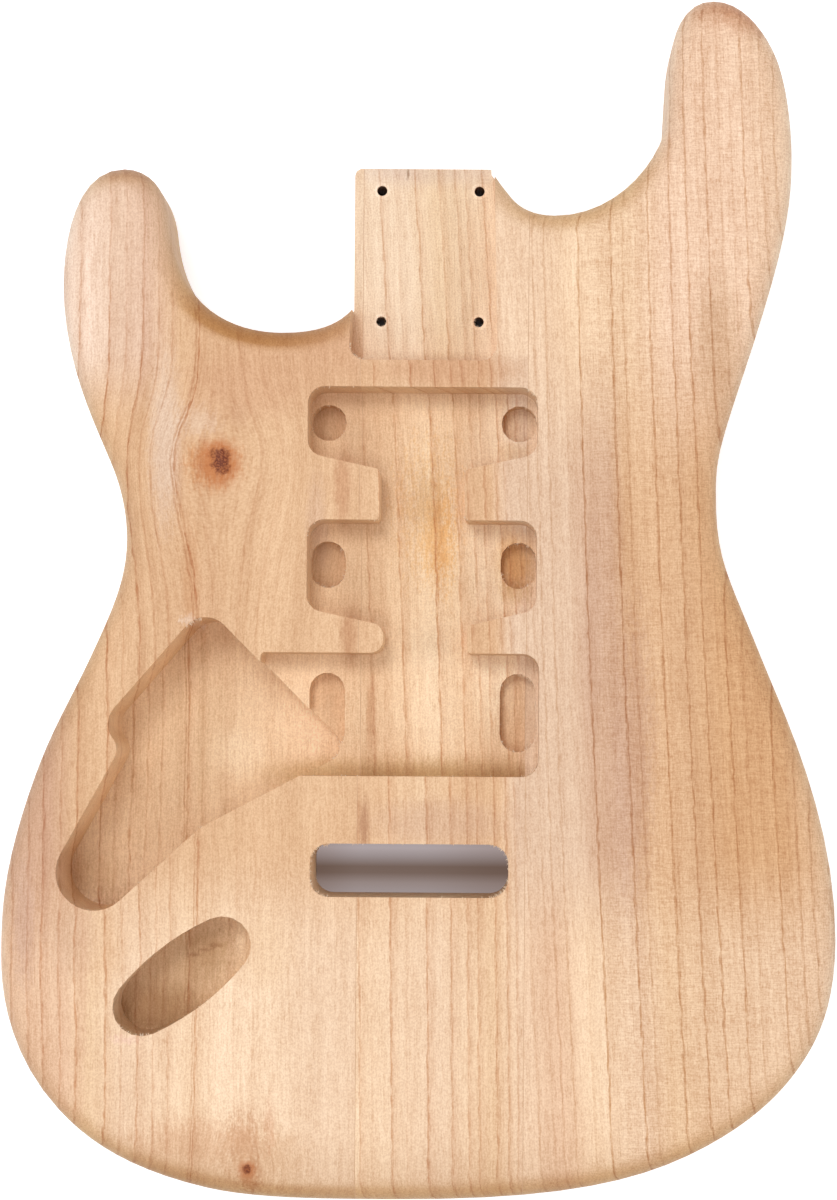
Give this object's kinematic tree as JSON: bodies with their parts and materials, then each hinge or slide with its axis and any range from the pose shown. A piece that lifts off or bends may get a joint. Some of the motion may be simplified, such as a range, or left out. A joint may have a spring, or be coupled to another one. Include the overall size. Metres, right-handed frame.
{
  "type": "electric guitar body",
  "caption": "Bare wood body of a left-handed electric guitar, glued up from boards, with rounded edges, neck pocket, pickup route, control and jack cavities, and tremolo slot.",
  "frame": {"origin": "middle of the back face's bounding box, on the plane that the back lies on", "axes": "+Z out of the front face, +Y from the tail towards the neck, +X towards the bass side with the longer horn"},
  "size_m": [0.3236, 0.465, 0.045],
  "materials": {
    "treble_wood": "bare, sanded, with fine pores and a knot",
    "centre_wood": "bare, sanded, pale quarter-sawn grain",
    "bass_wood": "bare, sanded, with mauve heartwood bands",
    "glue": "dried wood glue, scraped flush"
  },
  "bodies": {
    "root": {"treble_side_board": "treble_wood", "centre_board": "centre_wood", "bass_side_board": "bass_wood", "glue_line_treble_front": "glue", "glue_line_treble_rear": "glue", "glue_line_bass": "glue"}
  },
  "joints": []
}
